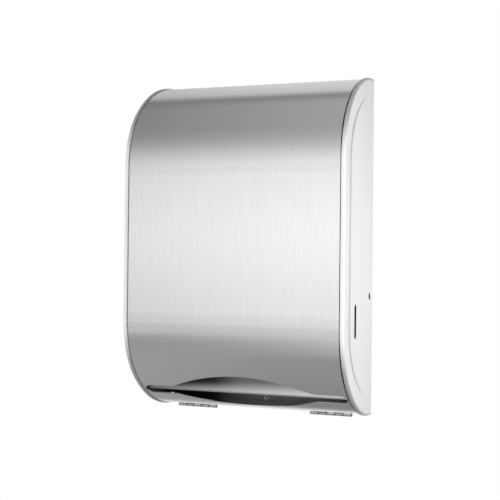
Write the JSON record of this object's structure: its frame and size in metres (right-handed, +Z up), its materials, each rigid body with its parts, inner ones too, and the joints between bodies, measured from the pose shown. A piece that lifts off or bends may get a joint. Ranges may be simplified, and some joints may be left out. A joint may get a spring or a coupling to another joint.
{
  "type": "folded paper dispenser",
  "caption": "Wall dispenser for folded paper: brushed steel front with a wide slot and finger opening, white side caps, and a cover that swings down on hinges.",
  "frame": {"origin": "centre of the four wall holes, on the wall plane", "axes": "+X to the right seen from the front, +Y into the wall, +Z up"},
  "size_m": [0.2724, 0.1332, 0.4093],
  "materials": {
    "front_steel": "vertical brushed",
    "tray_steel": "satin",
    "plate_steel": "zinc plated",
    "hinge_steel": "satin",
    "fastener_steel": "plain",
    "spring_steel": "blackened",
    "cap_white": "smooth moulded",
    "pad_rubber": "matt"
  },
  "bodies": {
    "wall_unit": {"back_plate": "plate_steel", "hinge_left_wall_leaf": "hinge_steel", "hinge_right_wall_leaf": "hinge_steel", "hinge_left_pin": "hinge_steel", "hinge_right_pin": "hinge_steel", "wall_leaf_rivets": "fastener_steel", "latch_rivets": "fastener_steel", "stop_pads": "pad_rubber"},
    "latch": {"latch_spring": "spring_steel"},
    "cover": {"front_wrap": "front_steel", "side_cap_left": "cap_white", "side_cap_right": "cap_white", "paper_tray": "tray_steel", "top_rail": "plate_steel", "hinge_left_cover_leaf": "hinge_steel", "hinge_right_cover_leaf": "hinge_steel", "cover_leaf_rivets": "fastener_steel", "tray_screws": "fastener_steel", "rail_screws": "fastener_steel", "cap_screws": "fastener_steel"}
  },
  "joints": [
    {"name": "cover_swing", "type": "hinge", "parent": "wall_unit", "child": "cover", "pos_m": [0, -0.014, -0.2035], "axis": [1, 0, 0], "range_deg": [0, 118]},
    {"name": "latch_press", "type": "hinge", "parent": "wall_unit", "child": "latch", "pos_m": [0.1293, -0.0147, -0.0157], "axis": [0, 1, 0], "range_deg": [0, 5], "stiffness_Nm_per_rad": 8, "deforming": ["latch_spring"]}
  ]
}
